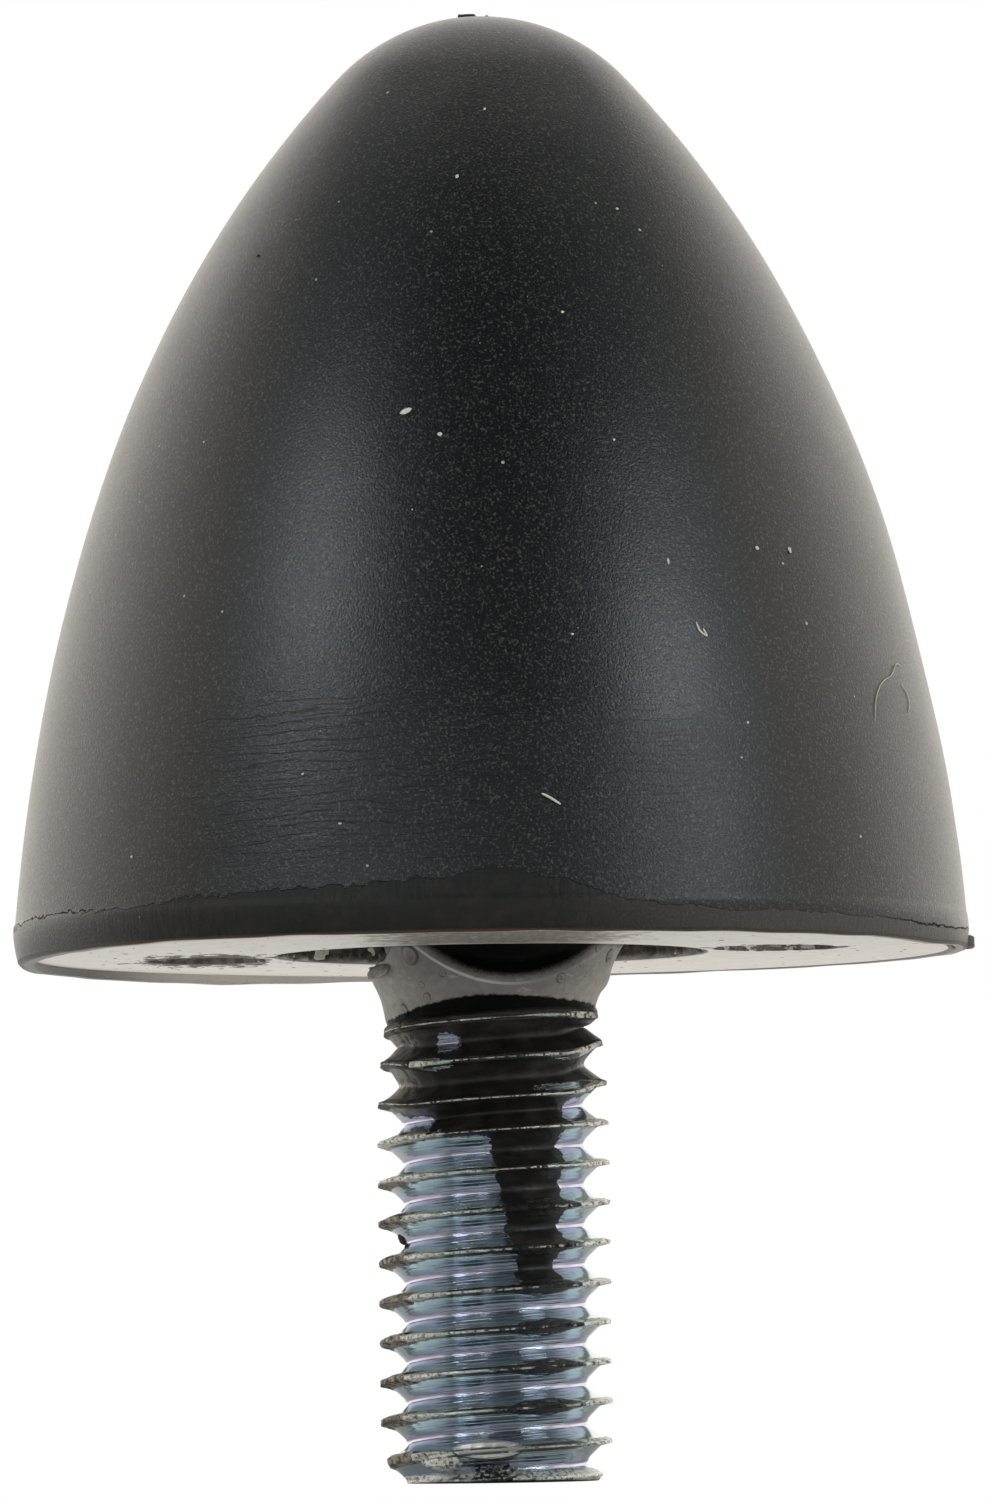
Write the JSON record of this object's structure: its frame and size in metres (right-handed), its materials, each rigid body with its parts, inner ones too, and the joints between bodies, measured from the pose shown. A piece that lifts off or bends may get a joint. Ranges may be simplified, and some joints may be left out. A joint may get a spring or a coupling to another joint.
{
  "type": "rubber buffer",
  "caption": "Parabolic rubber bump stop moulded on a round steel base plate, with a threaded stud for screw mounting.",
  "frame": {"origin": "on the axis, in the mounting face, which is the underside of the base plate", "axes": "+Z along the axis towards the tip of the dome, so the stud points along -Z; X and Y lie in the mounting face"},
  "size_m": [0.0385, 0.0382, 0.0589],
  "materials": {
    "black_rubber": "matte moulded black rubber with a faint sheen",
    "plate_steel": "pale dull plated steel with rubber stains",
    "zinc_steel": "bright blue zinc plating with worn crests"
  },
  "bodies": {
    "root": {"rubber_body": "black_rubber", "base_plate": "plate_steel", "threaded_stud": "zinc_steel"}
  },
  "joints": []
}
